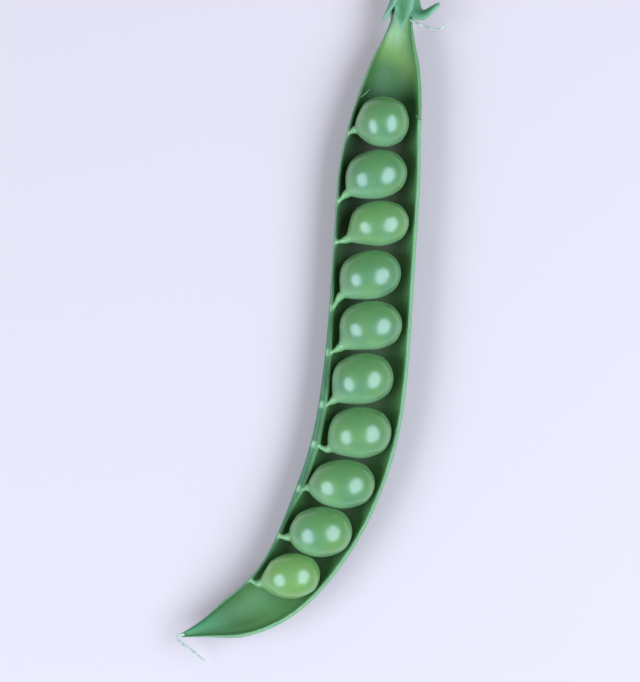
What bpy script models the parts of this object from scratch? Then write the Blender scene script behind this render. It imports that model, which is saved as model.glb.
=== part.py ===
"""Garden pea pod, opened: one valve with its row of ten peas, its calyx and stalk.

The pod lies on its belly with the open side up. Its length runs along Y, with the
stalk at the +Y end, and it curves out towards +X. The long edge on the -X side is the
seam that the peas hang from. Units are metres, and the origin is on the ground below
the middle of the whole pod.

Places on the pod are given as a distance along its middle line, counted from the torn
neck towards the tip, and an offset across it, positive towards the outer edge.
"""

import math

import bmesh
import bpy
import numpy as np
from mathutils import Vector

# Middle line, seen from above
LENGTH = 0.1135
HIDDEN_NECK = 0.006
NECK_X = -0.00718
NECK_Y = 0.04425
HEADINGS = (
    (-0.006, -12.0),
    (0.000, -12.0),
    (0.015, -10.0),
    (0.030, -16.0),
    (0.045, -16.0),
    (0.060, -12.5),
    (0.075, 0.5),
    (0.090, 14.0),
    (0.105, 48.0),
    (0.1135, 55.0),
)
LINE_FROM = -0.009
LINE_TO = 0.1165
LINE_STEP = 0.00025

# Half of the width across the two seams
HALF_WIDTHS = (
    (-0.006, 0.0011),
    (0.000, 0.0017),
    (0.0035, 0.0026),
    (0.008, 0.0041),
    (0.016, 0.0056),
    (0.028, 0.0067),
    (0.045, 0.0067),
    (0.062, 0.00685),
    (0.078, 0.00655),
    (0.092, 0.0053),
    (0.104, 0.0035),
    (0.110, 0.0013),
    (0.1135, 0.0003),
)

# Depth of the outer skin below the rim
DEPTHS = (
    (-0.006, 0.0011),
    (0.000, 0.0014),
    (0.0035, 0.0021),
    (0.008, 0.0034),
    (0.015, 0.0051),
    (0.022, 0.00575),
    (0.030, 0.00575),
    (0.078, 0.00575),
    (0.086, 0.0057),
    (0.094, 0.0052),
    (0.104, 0.0031),
    (0.110, 0.0014),
    (0.1135, 0.0004),
)

# How far the rim sinks below its height over the belly
RIM_HEIGHT = 0.00585
RIM_DROPS = (
    (-0.006, 0.0007),
    (0.000, 0.0005),
    (0.020, 0.0),
    (0.088, 0.0),
    (0.100, 0.0003),
    (0.1135, 0.0016),
)

# Wall of the valve
WALL = 0.0010
WALL_FULL_DEPTH = 0.0025
RIM_WIDTH = 0.0008
RIM_FULL_HALF_WIDTH = 0.003
RIM_CROWN = 0.0003
RIM_SHARES = (0.25, 0.75)
CLOSED_RIM = 0.15
BULGE = 0.00045
BULGE_REACH = 0.0026
SEAM_KNOB = 0.0002
SEAM_KNOB_REACH = 0.0011
CLOSED_UP_TO = -0.002
OPEN_FROM = 0.001
CLOSED_RISE = 0.9
RING_SPACING = 0.0016
OUTER_STEPS = 12
INNER_STEPS = 10

# One row for each pea: along, across, half length, half width, lean of its long axis
# towards the tip, lean of the corner that its cord leaves from, how far that corner is
# from its middle, and how far along from its middle the cord is rooted in the seam
PEAS = (
    (0.0170, 0.0, 0.0042, 0.0041, 8, 25, 0.0045, 0.0026),
    (0.0255, -0.0005, 0.0050, 0.0039, 15, 38, 0.0055, 0.0047),
    (0.0333, 0.0005, 0.0048, 0.0037, 8, 30, 0.0057, 0.0035),
    (0.0417, -0.0004, 0.0049, 0.0039, 14, 39, 0.0056, 0.0057),
    (0.0498, 0.0002, 0.0051, 0.0039, 7, 40, 0.0060, 0.0050),
    (0.0585, -0.0003, 0.0050, 0.0040, 15, 43, 0.0057, 0.0052),
    (0.0671, 0.0006, 0.0051, 0.0041, 13, 40, 0.0056, 0.0039),
    (0.0758, 0.0003, 0.0052, 0.0038, 22, 27, 0.0056, 0.0035),
    (0.0842, 0.0003, 0.0050, 0.0039, 31, 37, 0.0052, 0.0042),
    (0.0927, 0.0001, 0.0045, 0.0037, 45, 52, 0.0052, 0.0060),
)
PEA_LIFT = 0.0003
PEA_FLATNESS = 1.02
PEA_SIDES = 16
PEA_BELTS = 8
PEA_TAIL_FROM = 138
TAIL_NUDGE = 0.02
TAIL_SHARES = (0.4, 0.75, 1.0)
TAIL_START_PULL = 0.4
TAIL_END_PULL = 0.3
CORD_RADIUS = 0.0005
CORD_FOOT = 0.00055
CORD_PULL = 0.35
CORD_RINGS = 4
CORD_RISE = 0.0001
ROOT_GAP = 0.00045
GAP = 0.0003

# Calyx: its cup, and a row for each sepal with its place round the neck, its length,
# the angle at which it leaves the cup, how far it curls away, both in degrees, and the
# share of its length at which it curls most
CUP_FROM = -0.0076
CUP_TO = -0.0036
CUP_OUTSIDE = ((0.0, 0.0011), (0.2, 0.0018), (0.45, 0.0023), (1.0, 0.0024))
SOCKET_GAP = 0.0004
SOCKET_SHARES = (0.0, 0.5, 1.0)
CUP_SIDES = 20
SEPALS = (
    (90, 0.0068, 4, 10, 0.5),
    (160, 0.0064, 6, 34, 0.5),
    (15, 0.0078, 3, 132, 0.52),
    (232, 0.0066, 8, 40, 0.5),
    (306, 0.0070, 8, 55, 0.5),
)
SEPAL_ROOT = -0.0052
SEPAL_ROOT_RADIUS = 0.00192
SEPAL_HALF_WIDTH = 0.00125
SEPAL_TIP_HALF_WIDTH = 0.0003
SEPAL_TAPER = (2.2, 0.8)
SEPAL_WAIST = 0.85
SEPAL_SWELL = 0.3
SEPAL_CURL_SPAN = 0.7
SEPAL_THICKNESS = 0.00065
SEPAL_ARCH = 0.00045
SEPAL_RINGS = 9
SEPAL_SECTION = (
    (-1.0, -0.5),
    (-0.5, -1.0),
    (0.5, -1.0),
    (1.0, -0.5),
    (1.0, 0.5),
    (0.5, 1.0),
    (-0.5, 1.0),
    (-1.0, 0.5),
)

# Stalk
STALK_LENGTH = 0.014
STALK_TOP_RADIUS = 0.00125
STALK_RADIUS = 0.0007
STALK_FLARE_SHARE = 0.22
STALK_BEND = 38
STALK_BEND_POWER = 1.3
STALK_RISE = 14
STALK_SIDES = 12
STALK_RINGS = 12

# Dried threads, as places along, across and above the rim
STYLE_ROUTE = (
    (0.1140, -0.0001, -0.0001),
    (0.1142, 0.0004, -0.0003),
    (0.1139, 0.0013, -0.0005),
    (0.1133, 0.0020, -0.0008),
    (0.1122, 0.0036, -0.0014),
    (0.1113, 0.0051, -0.0021),
)
STYLE_RADIUS = 0.00028
STAMEN_ROUTE = (
    (0.0004, 0.0025, 0.0002),
    (0.0007, 0.0037, 0.0006),
    (0.0011, 0.0050, 0.0008),
    (0.0008, 0.0064, 0.0006),
    (0.0002, 0.0070, 0.0008),
)
STAMEN_RADIUS = 0.00025
THREAD_TAPER = 0.35
THREAD_SIDES = 8
THREAD_STEPS = 4

# Edges sharper than this, in degrees, aren't smoothed over
CREASE = 40

# Colour, roughness
SKIN = ((0.035, 0.165, 0.045, 1.0), 0.35)
PEA_GREEN = ((0.13, 0.37, 0.11, 1.0), 0.3)
CALYX_GREEN = ((0.05, 0.19, 0.06, 1.0), 0.5)
STALK_GREEN = ((0.20, 0.38, 0.13, 1.0), 0.5)
DRIED = ((0.55, 0.52, 0.42, 1.0), 0.7)


def clear_scene():
    for thing in list(bpy.data.objects):
        bpy.data.objects.remove(thing, do_unlink=True)


def material(name, finish):
    """Plain non-metal material from a (colour, roughness) pair."""
    colour, roughness = finish
    made = bpy.data.materials.new(name)
    made.use_nodes = True
    shader = made.node_tree.nodes["Principled BSDF"]
    shader.inputs["Base Color"].default_value = colour
    shader.inputs["Roughness"].default_value = roughness
    shader.inputs["Metallic"].default_value = 0.0
    made.diffuse_color = colour
    return made


def smooth(stations, where):
    """Value at a place on a curve through (place, value) stations that never overshoots."""
    places, values = np.array(stations).T
    steps = np.diff(places)
    rates = np.diff(values) / steps
    pairs = rates[1:] * rates[:-1]
    turning = pairs <= 0
    means = np.where(turning, 0, 2 * pairs / np.where(turning, 1, rates[1:] + rates[:-1]))
    slopes = np.concatenate([rates[:1], means, rates[-1:]])
    where = min(max(where, places[0]), places[-1])
    i = min(int(np.searchsorted(places, where, side="right")) - 1, len(steps) - 1)
    u = (where - places[i]) / steps[i]
    value = values[i] * (1 + 2 * u) * (1 - u) ** 2 + values[i + 1] * u * u * (3 - 2 * u)
    return float(value + steps[i] * u * (1 - u) * (slopes[i] * (1 - u) - slopes[i + 1] * u))


def ease(share):
    """Rises smoothly from 0 to 1 as the share does, and stays there outside."""
    share = min(max(share, 0.0), 1.0)
    return share * share * (3 - 2 * share)


def heading(along):
    """Direction of the middle line towards the tip, and the direction across it."""
    turn = math.radians(smooth(HEADINGS, along))
    return Vector((-math.sin(turn), -math.cos(turn), 0)), Vector((math.cos(turn), -math.sin(turn), 0))


def middle_line():
    """Table of distances and plan points, a small step apart, added up from the headings."""
    count = round((LINE_TO - LINE_FROM) / LINE_STEP)
    places = LINE_FROM + LINE_STEP * np.arange(count + 1)
    ways = np.array([heading(place)[0] for place in places])
    steps = (ways[1:] + ways[:-1]) / 2 * LINE_STEP
    points = np.concatenate([np.zeros((1, 3)), np.cumsum(steps, axis=0)])
    neck = round(-LINE_FROM / LINE_STEP)
    return places, points - points[neck] + np.array((NECK_X, NECK_Y, 0))


PLACES, POINTS = middle_line()


def rim_height(along):
    return RIM_HEIGHT - smooth(RIM_DROPS, along)


def spot(along, across, rise=0.0):
    """Point on the pod: along and across its middle line, at a rise over the rim."""
    flat = Vector([np.interp(along, PLACES, POINTS[:, axis]) for axis in range(2)] + [0.0])
    return flat + heading(along)[1] * across + Vector((0, 0, rim_height(along) + rise))


def swell(along, centres, reach):
    """Sum of soft bumps, each 1 high at its centre."""
    return sum(math.exp(-(((along - centre) / reach) ** 2)) for centre in centres)


def half_width(along):
    return smooth(HALF_WIDTHS, along)


def valve_section(along):
    """Closed loop round the valve's wall at one place: outer skin, rim, lining, rim."""
    wide = half_width(along)
    bulge = BULGE * swell(along, [pea[0] for pea in PEAS], BULGE_REACH)
    deep = smooth(DEPTHS, along) + bulge
    wall = WALL * min(1.0, deep / WALL_FULL_DEPTH)
    opened = ease((along - CLOSED_UP_TO) / (OPEN_FROM - CLOSED_UP_TO))
    narrowed = min(1.0, wide / RIM_FULL_HALF_WIDTH)
    rim = RIM_WIDTH * narrowed * (CLOSED_RIM + (1 - CLOSED_RIM) * opened)
    knob = SEAM_KNOB * opened * swell(along, [pea[0] + pea[-1] for pea in PEAS], SEAM_KNOB_REACH)
    left, right = wide - rim - knob, wide - rim
    hollow = opened * (deep - wall) - (1 - opened) * CLOSED_RISE * wide
    crown = RIM_CROWN * opened * narrowed
    loop = []
    for step in range(OUTER_STEPS + 1):
        angle = math.pi * (step / OUTER_STEPS - 0.5)
        loop.append((wide * math.sin(angle), -deep * math.cos(angle)))
    loop += [(wide - rim * share, crown) for share in RIM_SHARES]
    for step in range(INNER_STEPS + 1):
        angle = math.pi * (0.5 - step / INNER_STEPS)
        side = right if angle > 0 else left
        loop.append((side * math.sin(angle), -hollow * math.cos(angle)))
    loop += [(-left - (wide - left) * share, crown) for share in RIM_SHARES]
    points = [spot(along, across, rise) for across, rise in loop]
    # The belly settles on the ground in a small flat spot below each pea.
    return [Vector((point.x, point.y, max(point.z, 0.0))) for point in points]


def skin_over(name, rings, finish):
    """Closed solid through rings with the same number of points, capped at both ends."""
    shape = bmesh.new()
    loops = [[shape.verts.new(point) for point in ring] for ring in rings]
    count = len(loops[0])
    for lower, upper in zip(loops, loops[1:]):
        for i in range(count):
            j = (i + 1) % count
            shape.faces.new((lower[i], lower[j], upper[j]))
            shape.faces.new((lower[i], upper[j], upper[i]))
    shape.faces.new(loops[0])
    shape.faces.new(loops[-1])
    bmesh.ops.recalc_face_normals(shape, faces=shape.faces)
    if shape.calc_volume(signed=True) < 0:
        bmesh.ops.reverse_faces(shape, faces=shape.faces)
    mesh = bpy.data.meshes.new(name)
    shape.to_mesh(mesh)
    shape.free()
    mesh.shade_smooth()
    mesh.set_sharp_from_angle(angle=math.radians(CREASE))
    mesh.materials.append(finish)
    made = bpy.data.objects.new(name, mesh)
    bpy.context.scene.collection.objects.link(made)
    return made


def ring_round(centre, way, radius, sides, up=Vector((0, 0, 1))):
    """Ring of points square to a direction."""
    side = way.cross(up).normalized()
    top = side.cross(way).normalized()
    turns = [2 * math.pi * i / sides for i in range(sides)]
    return [centre + (side * math.cos(turn) + top * math.sin(turn)) * radius for turn in turns]


def bezier(points, share):
    """Point and direction at a share of a cubic curve with four control points."""
    a, b, c, d = points
    rest = 1 - share
    place = a * rest**3 + b * 3 * share * rest**2 + c * 3 * share**2 * rest + d * share**3
    way = (b - a) * rest**2 + (c - b) * 2 * share * rest + (d - c) * share**2
    return place, way.normalized()


def make_valve(finish):
    count = math.ceil((LENGTH + HIDDEN_NECK) / RING_SPACING)
    places = [-HIDDEN_NECK + (LENGTH + HIDDEN_NECK) * i / count for i in range(count + 1)]
    return skin_over("pod_valve", [valve_section(along) for along in places], finish)


def pea_rings(along, across, half_long, half_wide, lean, corner_lean, corner_reach, pull):
    """Rings from the free end of a pea, over its corner and down its cord to the seam."""
    centre = spot(along, across, PEA_LIFT)
    forward, outward = heading(along)
    off_axis = math.radians(corner_lean - lean)
    lean = math.radians(lean)
    long_way = forward * math.sin(lean) - outward * math.cos(lean)
    wide_way = forward * math.cos(lean) + outward * math.sin(lean)
    tall_way = Vector((0, 0, 1))
    half_tall = half_wide * PEA_FLATNESS

    # The rings are counted from the corner's side of the pea, off its long axis.
    corner_turn = math.atan2(math.sin(off_axis) / half_wide, math.cos(off_axis) / half_long)

    def surface(down, turn):
        pole, side = math.cos(down), math.sin(down)
        a = -pole * math.cos(corner_turn) + side * math.cos(turn) * math.sin(corner_turn)
        b = -pole * math.sin(corner_turn) - side * math.cos(turn) * math.cos(corner_turn)
        c = side * math.sin(turn)
        return centre + long_way * (a * half_long) + wide_way * (b * half_wide) + tall_way * (c * half_tall)

    turns = [2 * math.pi * i / PEA_SIDES for i in range(PEA_SIDES)]
    last = math.radians(PEA_TAIL_FROM)
    rings = []
    for belt in range(1, PEA_BELTS + 1):
        rings.append([surface(last * belt / PEA_BELTS, turn) for turn in turns])

    pole = surface(math.pi, 0.0)
    way = (pole - centre).normalized()
    corner = centre + way * corner_reach
    root_place = along + pull
    rim = RIM_WIDTH + SEAM_KNOB + ROOT_GAP
    root = spot(root_place, rim - half_width(root_place), CORD_RISE)
    side = way.cross(tall_way)
    for share in TAIL_SHARES:
        ring = []
        for turn in turns:
            start = surface(last, turn)
            off_pea = (surface(last + TAIL_NUDGE, turn) - start).normalized()
            reach = (corner - start).length
            end = corner + (side * math.cos(turn) + tall_way * math.sin(turn)) * CORD_RADIUS
            leaving = start + off_pea * reach * TAIL_START_PULL
            arriving = end - way * reach * TAIL_END_PULL
            ring.append(bezier((start, leaving, arriving, end), share)[0])
        rings.append(ring)
    pulled = (root - corner).length * CORD_PULL
    into_seam = ((root - corner).normalized() - heading(root_place)[1]).normalized()
    controls = (corner, corner + way * pulled, root - into_seam * pulled, root)
    for i in range(1, CORD_RINGS + 1):
        share = i / CORD_RINGS
        place, way_on = bezier(controls, share)
        radius = CORD_RADIUS + (CORD_FOOT - CORD_RADIUS) * ease(share * 2 - 1)
        side_on = way_on.cross(tall_way).normalized()
        rings.append(
            [place + (side_on * math.cos(turn) + tall_way * math.sin(turn)) * radius for turn in turns]
        )
    return rings


def make_peas(finish):
    for number, row in enumerate(PEAS, 1):
        skin_over(f"pea_{number:02d}", pea_rings(*row), finish)


def cup_rings():
    """Rings over the cup's outside, round its lip and down into the socket for the neck."""
    rings = []
    for share, radius in CUP_OUTSIDE:
        along = CUP_FROM + (CUP_TO - CUP_FROM) * share
        rings.append(ring_round(spot(along, 0), heading(along)[0], radius, CUP_SIDES))
    socket_end = -HIDDEN_NECK - GAP
    for share in SOCKET_SHARES:
        along = CUP_TO + (socket_end - CUP_TO) * share
        radius = half_width(along) + SOCKET_GAP
        rings.append(ring_round(spot(along, 0), heading(along)[0], radius, CUP_SIDES))
    return rings


def sepal_half_width(share):
    """Half width of a sepal at a share of its length: a waist, a swell and a pointed tip."""
    body = SEPAL_WAIST + SEPAL_SWELL * math.sin(math.pi * share)
    narrowing = (1 - share ** SEPAL_TAPER[0]) ** SEPAL_TAPER[1]
    return SEPAL_HALF_WIDTH * body * narrowing + SEPAL_TIP_HALF_WIDTH


def sepal_rings(turn, length, start, curl, curl_at):
    """Rings along one sepal, from its root in the cup to its pointed tip."""
    forward, outward = heading(SEPAL_ROOT)
    turn = math.radians(turn)
    away = outward * math.cos(turn) + Vector((0, 0, math.sin(turn)))
    across = forward.cross(away)
    place = spot(SEPAL_ROOT, 0) + away * SEPAL_ROOT_RADIUS
    rings = []
    step = length / SEPAL_RINGS
    for i in range(SEPAL_RINGS + 1):
        share = i / SEPAL_RINGS
        curled = ease((share - curl_at) / SEPAL_CURL_SPAN + 0.5)
        angle = math.radians(start + curl * curled)
        way = forward * math.cos(angle) + away * math.sin(angle)
        face = away * math.cos(angle) - forward * math.sin(angle)
        wide = sepal_half_width(share)
        thick = SEPAL_THICKNESS / 2
        arch = SEPAL_ARCH * (wide / SEPAL_HALF_WIDTH) ** 2
        rings.append(
            [place + across * (x * wide) + face * (y * thick - arch * x * x) for x, y in SEPAL_SECTION]
        )
        place = place + way * step
    return rings


def make_calyx(finish):
    """Cup and five sepals, joined as the one leafy piece that they are."""
    cup = skin_over("calyx", cup_rings(), finish)
    blades = bpy.data.collections.new("sepals")
    bpy.context.scene.collection.children.link(blades)
    for number, row in enumerate(SEPALS, 1):
        blade = skin_over(f"sepal_{number}", sepal_rings(*row), finish)
        bpy.context.scene.collection.objects.unlink(blade)
        blades.objects.link(blade)
    join = cup.modifiers.new("join sepals", "BOOLEAN")
    join.operation = "UNION"
    join.solver = "EXACT"
    join.operand_type = "COLLECTION"
    join.collection = blades
    bpy.context.view_layer.update()
    joined = bpy.data.meshes.new_from_object(cup.evaluated_get(bpy.context.evaluated_depsgraph_get()))
    cup.modifiers.clear()
    cup.data = joined
    for blade in list(blades.objects):
        bpy.data.objects.remove(blade, do_unlink=True)
    bpy.data.collections.remove(blades)
    return cup


def make_stalk(finish):
    """Stalk from just behind the cup, bending away and rising a little."""
    start = CUP_FROM - GAP
    forward, outward = heading(start)
    place = spot(start, 0)
    rings = []
    step = STALK_LENGTH / STALK_RINGS
    for i in range(STALK_RINGS + 1):
        share = i / STALK_RINGS
        bend = math.radians(STALK_BEND) * share**STALK_BEND_POWER
        rise = math.radians(STALK_RISE) * math.sin(math.pi * share)
        way = -forward * math.cos(bend) - outward * math.sin(bend)
        way = (way * math.cos(rise) + Vector((0, 0, math.sin(rise)))).normalized()
        flare = 1 - ease(share / STALK_FLARE_SHARE)
        radius = STALK_RADIUS + (STALK_TOP_RADIUS - STALK_RADIUS) * flare
        rings.append(ring_round(place, way, radius, STALK_SIDES))
        place = place + way * step
    return skin_over("stalk", rings, finish)


def make_thread(name, route, radius, finish):
    """Dried thread: a round wire on a smooth curve through its route."""
    stops = [spot(*stop) for stop in route]
    tracks = [[(mark, stop[axis]) for mark, stop in enumerate(stops)] for axis in range(3)]
    last = (len(stops) - 1) * THREAD_STEPS
    points = []
    for i in range(last + 1):
        points.append(Vector([smooth(track, i / THREAD_STEPS) for track in tracks]))
    rings = []
    for i, point in enumerate(points):
        way = points[min(i + 1, last)] - points[max(i - 1, 0)]
        thin = radius * (1 - THREAD_TAPER * i / last)
        rings.append(ring_round(point, way.normalized(), thin, THREAD_SIDES))
    return skin_over(name, rings, finish)


def main():
    clear_scene()
    make_valve(material("pod skin", SKIN))
    make_peas(material("pea", PEA_GREEN))
    make_calyx(material("calyx", CALYX_GREEN))
    make_stalk(material("stalk", STALK_GREEN))
    dried = material("dried thread", DRIED)
    make_thread("dried_style", STYLE_ROUTE, STYLE_RADIUS, dried)
    make_thread("dried_stamen", STAMEN_ROUTE, STAMEN_RADIUS, dried)


main()
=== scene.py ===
# %% [markdown]
# # An opened garden pea pod
#
# A pea pod is one leaf, folded and sealed along its edge. Each pea grows on a short cord
# from that seam. When one half of the pod is taken off, the other half, called a valve,
# lies like a small boat with its row of peas in it. This notebook makes the looks of such
# a valve, with its peas, the green calyx behind its neck, its stalk and two dried threads
# of the flower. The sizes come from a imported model, which is loaded first and stays as it
# is: every new piece takes the place of one of its nodes.

import math

import bmesh
import bpy
import numpy as np
from mathutils import Matrix, Vector


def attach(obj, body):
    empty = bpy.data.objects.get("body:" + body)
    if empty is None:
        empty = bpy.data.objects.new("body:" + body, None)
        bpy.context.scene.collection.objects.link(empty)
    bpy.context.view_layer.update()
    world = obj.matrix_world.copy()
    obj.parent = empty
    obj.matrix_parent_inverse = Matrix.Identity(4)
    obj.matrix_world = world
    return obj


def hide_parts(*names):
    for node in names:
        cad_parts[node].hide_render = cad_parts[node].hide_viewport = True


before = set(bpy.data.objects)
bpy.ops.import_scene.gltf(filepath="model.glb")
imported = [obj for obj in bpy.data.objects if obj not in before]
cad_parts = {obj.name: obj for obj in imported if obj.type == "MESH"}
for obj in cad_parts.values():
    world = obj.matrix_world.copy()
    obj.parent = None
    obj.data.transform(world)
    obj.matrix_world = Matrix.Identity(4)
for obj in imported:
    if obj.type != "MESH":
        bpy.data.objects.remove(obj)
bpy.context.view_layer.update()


# %% [markdown]
# ## The line that the pod grows on
#
# Everything on a pod is easiest to place by how far along it is and how far across. The
# pod lies with its length along Y, stalk at the far end, and curves out to +X. Its middle
# line is kept as headings, one every centimetre or two, because a curve with smooth
# headings has no kinks. Stations between the given ones are read off a curve that never
# swings past them, so a width that is written down is the widest the pod gets there.

# %% Places along the pod, in metres from the neck
LENGTH = 0.1135
HIDDEN_NECK = 0.006
NECK_X = -0.00718
NECK_Y = 0.04425
# Each row is a place and the heading there, in degrees from -Y towards -X
HEADINGS = (
    (-0.006, -12.0), (0.000, -12.0), (0.015, -10.0), (0.030, -16.0), (0.045, -16.0),
    (0.060, -12.5), (0.075, 0.5), (0.090, 14.0), (0.105, 48.0), (0.1135, 55.0),
)
LINE_FROM = -0.009
LINE_TO = 0.1165
LINE_STEP = 0.00025


def smooth(stations, where):
    """Value at a place on a curve through (place, value) stations that never overshoots."""
    places, values = np.array(stations).T
    steps = np.diff(places)
    rates = np.diff(values) / steps
    pairs = rates[1:] * rates[:-1]
    turning = pairs <= 0
    means = np.where(turning, 0, 2 * pairs / np.where(turning, 1, rates[1:] + rates[:-1]))
    slopes = np.concatenate([rates[:1], means, rates[-1:]])
    where = min(max(where, places[0]), places[-1])
    i = min(int(np.searchsorted(places, where, side="right")) - 1, len(steps) - 1)
    u = (where - places[i]) / steps[i]
    value = values[i] * (1 + 2 * u) * (1 - u) ** 2 + values[i + 1] * u * u * (3 - 2 * u)
    return float(value + steps[i] * u * (1 - u) * (slopes[i] * (1 - u) - slopes[i + 1] * u))


def ease(share):
    """Rises smoothly from 0 to 1 as the share does, and stays there outside."""
    share = min(max(share, 0.0), 1.0)
    return share * share * (3 - 2 * share)


def heading(along):
    """Direction of the middle line towards the tip, and the direction across it."""
    turn = math.radians(smooth(HEADINGS, along))
    return Vector((-math.sin(turn), -math.cos(turn), 0)), Vector((math.cos(turn), -math.sin(turn), 0))


def middle_line():
    """Table of distances and plan points, a small step apart, added up from the headings."""
    count = round((LINE_TO - LINE_FROM) / LINE_STEP)
    places = LINE_FROM + LINE_STEP * np.arange(count + 1)
    ways = np.array([heading(place)[0] for place in places])
    steps = (ways[1:] + ways[:-1]) / 2 * LINE_STEP
    points = np.concatenate([np.zeros((1, 3)), np.cumsum(steps, axis=0)])
    neck = round(-LINE_FROM / LINE_STEP)
    return places, points - points[neck] + np.array((NECK_X, NECK_Y, 0))


PLACES, POINTS = middle_line()
print("middle line:", len(PLACES), "points")

# %% [markdown]
# ## Width, depth and rim
#
# Three more rows of stations give the half width across the two seams, the depth of the
# belly below the rim, and how far the rim sinks towards either end.

# %% The pod's measures
HALF_WIDTHS = (
    (-0.006, 0.0011), (0.000, 0.0017), (0.0035, 0.0026), (0.008, 0.0041), (0.016, 0.0056),
    (0.028, 0.0067), (0.045, 0.0067), (0.062, 0.00685), (0.078, 0.00655), (0.092, 0.0053),
    (0.104, 0.0035), (0.110, 0.0013), (0.1135, 0.0003),
)
DEPTHS = (
    (-0.006, 0.0011), (0.000, 0.0014), (0.0035, 0.0021), (0.008, 0.0034), (0.015, 0.0051),
    (0.022, 0.00575), (0.030, 0.00575), (0.078, 0.00575), (0.086, 0.0057), (0.094, 0.0052),
    (0.104, 0.0031), (0.110, 0.0014), (0.1135, 0.0004),
)
RIM_HEIGHT = 0.00585
RIM_DROPS = (
    (-0.006, 0.0007), (0.000, 0.0005), (0.020, 0.0), (0.088, 0.0), (0.100, 0.0003),
    (0.1135, 0.0016),
)

# One row for each pea: along, across, half length, half width, lean of its long axis
# towards the tip, lean of the corner that its cord leaves from, how far that corner is
# from its middle, and how far along from its middle the cord is rooted in the seam
PEAS = (
    (0.0170, -0.0005, 0.0042, 0.0041, 8, 25, 0.0046, 0.0026),
    (0.0255, -0.0005, 0.0050, 0.0040, 15, 38, 0.0055, 0.0047),
    (0.0333, 0.0005, 0.0048, 0.0037, 8, 30, 0.0057, 0.0035),
    (0.0417, -0.0004, 0.0050, 0.0040, 14, 39, 0.0056, 0.0057),
    (0.0498, 0.0002, 0.0051, 0.0040, 7, 40, 0.0060, 0.0050),
    (0.0585, -0.0003, 0.0050, 0.00415, 15, 43, 0.0057, 0.0052),
    (0.0671, 0.0006, 0.0051, 0.0042, 13, 40, 0.0056, 0.0039),
    (0.0758, 0.0003, 0.0052, 0.0040, 22, 27, 0.0056, 0.0035),
    (0.0842, 0.0003, 0.0050, 0.0041, 31, 37, 0.0052, 0.0042),
    (0.0927, 0.0001, 0.0045, 0.0037, 45, 52, 0.0052, 0.0060),
)
PEA_PLACES = [pea[0] for pea in PEAS]
ROOT_PLACES = [pea[0] + pea[-1] for pea in PEAS]


def half_width(along):
    return smooth(HALF_WIDTHS, along)


def rim_height(along):
    return RIM_HEIGHT - smooth(RIM_DROPS, along)


def spot(along, across, rise=0.0):
    """Point on the pod: along and across its middle line, at a rise over the rim."""
    flat = Vector([np.interp(along, PLACES, POINTS[:, axis]) for axis in range(2)] + [0.0])
    return flat + heading(along)[1] * across + Vector((0, 0, rim_height(along) + rise))


def swell(along, centres, reach):
    """Sum of soft bumps, each 1 high at its centre."""
    return sum(math.exp(-(((along - centre) / reach) ** 2)) for centre in centres)


print("widest across:", round(2000 * max(width for _, width in HALF_WIDTHS), 1), "mm")

# %% [markdown]
# ## A few habits as helpers
#
# In Blender's window a modeller clicks on the points to change. A script picks them by
# their place instead, after everything else is deselected. `paint` stores a number at each
# point, such as how far along the pod it is. The finishes read those numbers later, so a
# colour can follow the shape however it is bent.

# %% Selecting, finishing and painting
SAME_PLACE = 1e-6


def begin(piece, name):
    """Names a new object and opens it for editing with nothing selected."""
    piece.name = name
    piece.data.name = name
    bpy.ops.object.mode_set(mode="EDIT")
    bpy.ops.mesh.select_all(action="DESELECT")


def pick(chosen):
    """In edit mode, selects the points of the mesh that pass a test, and no others."""
    shape = bmesh.from_edit_mesh(bpy.context.edit_object.data)
    bpy.ops.mesh.select_all(action="DESELECT")
    for point in shape.verts:
        point.select_set(chosen(point))
    shape.select_flush_mode()
    bmesh.update_edit_mesh(bpy.context.edit_object.data)


def choose(*pieces):
    """Selects these objects and no others, and makes the first one active."""
    bpy.ops.object.select_all(action="DESELECT")
    for piece in pieces:
        piece.select_set(True)
    bpy.context.view_layer.objects.active = pieces[0]


def apply_modifier(piece, name, kind, **settings):
    """Adds a modifier with these settings and applies it at once."""
    modifier = piece.modifiers.new(name, kind)
    for setting, value in settings.items():
        setattr(modifier, setting, value)
    choose(piece)
    bpy.ops.object.modifier_apply(modifier=name)


def close_and_smooth(piece):
    """Leaves edit mode with the faces pointing outwards and shaded smooth."""
    bpy.ops.mesh.select_all(action="SELECT")
    bpy.ops.mesh.remove_doubles(threshold=SAME_PLACE)
    bpy.ops.mesh.normals_make_consistent(inside=False)
    bpy.ops.object.mode_set(mode="OBJECT")
    bpy.ops.object.shade_smooth()


def paint(piece, name, values):
    """Stores one number at each point of a piece, for its finish to read."""
    layer = piece.data.attributes.new(name, "FLOAT", "POINT")
    layer.data.foreach_set("value", np.array(values, np.float32))


def report(piece):
    piece.data.calc_loop_triangles()
    size = [round(1000 * side, 1) for side in piece.dimensions]
    print(f"{piece.name}: {len(piece.data.loop_triangles)} triangles, {size} mm")


bpy.ops.object.select_all(action="DESELECT")
print("helpers ready")

# %% [markdown]
# ## The valve
#
# The valve is one skin that runs from its outer face over the rim and back down its
# lining. Its section changes all the way: round and closed at the neck, a deep open
# trough over the peas, and almost nothing at the tip. Extruding it ring by ring would
# need hundreds of small moves, so it is made like a paper roll. A flat grid has one row
# of faces for each slice of pod, and each row is laid round the section of its place.
# The left rim is the seam that carries the peas. It bears a small knob at each cord, and
# from the fifth pea to the eighth it widens to a band with a groove along it.

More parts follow.
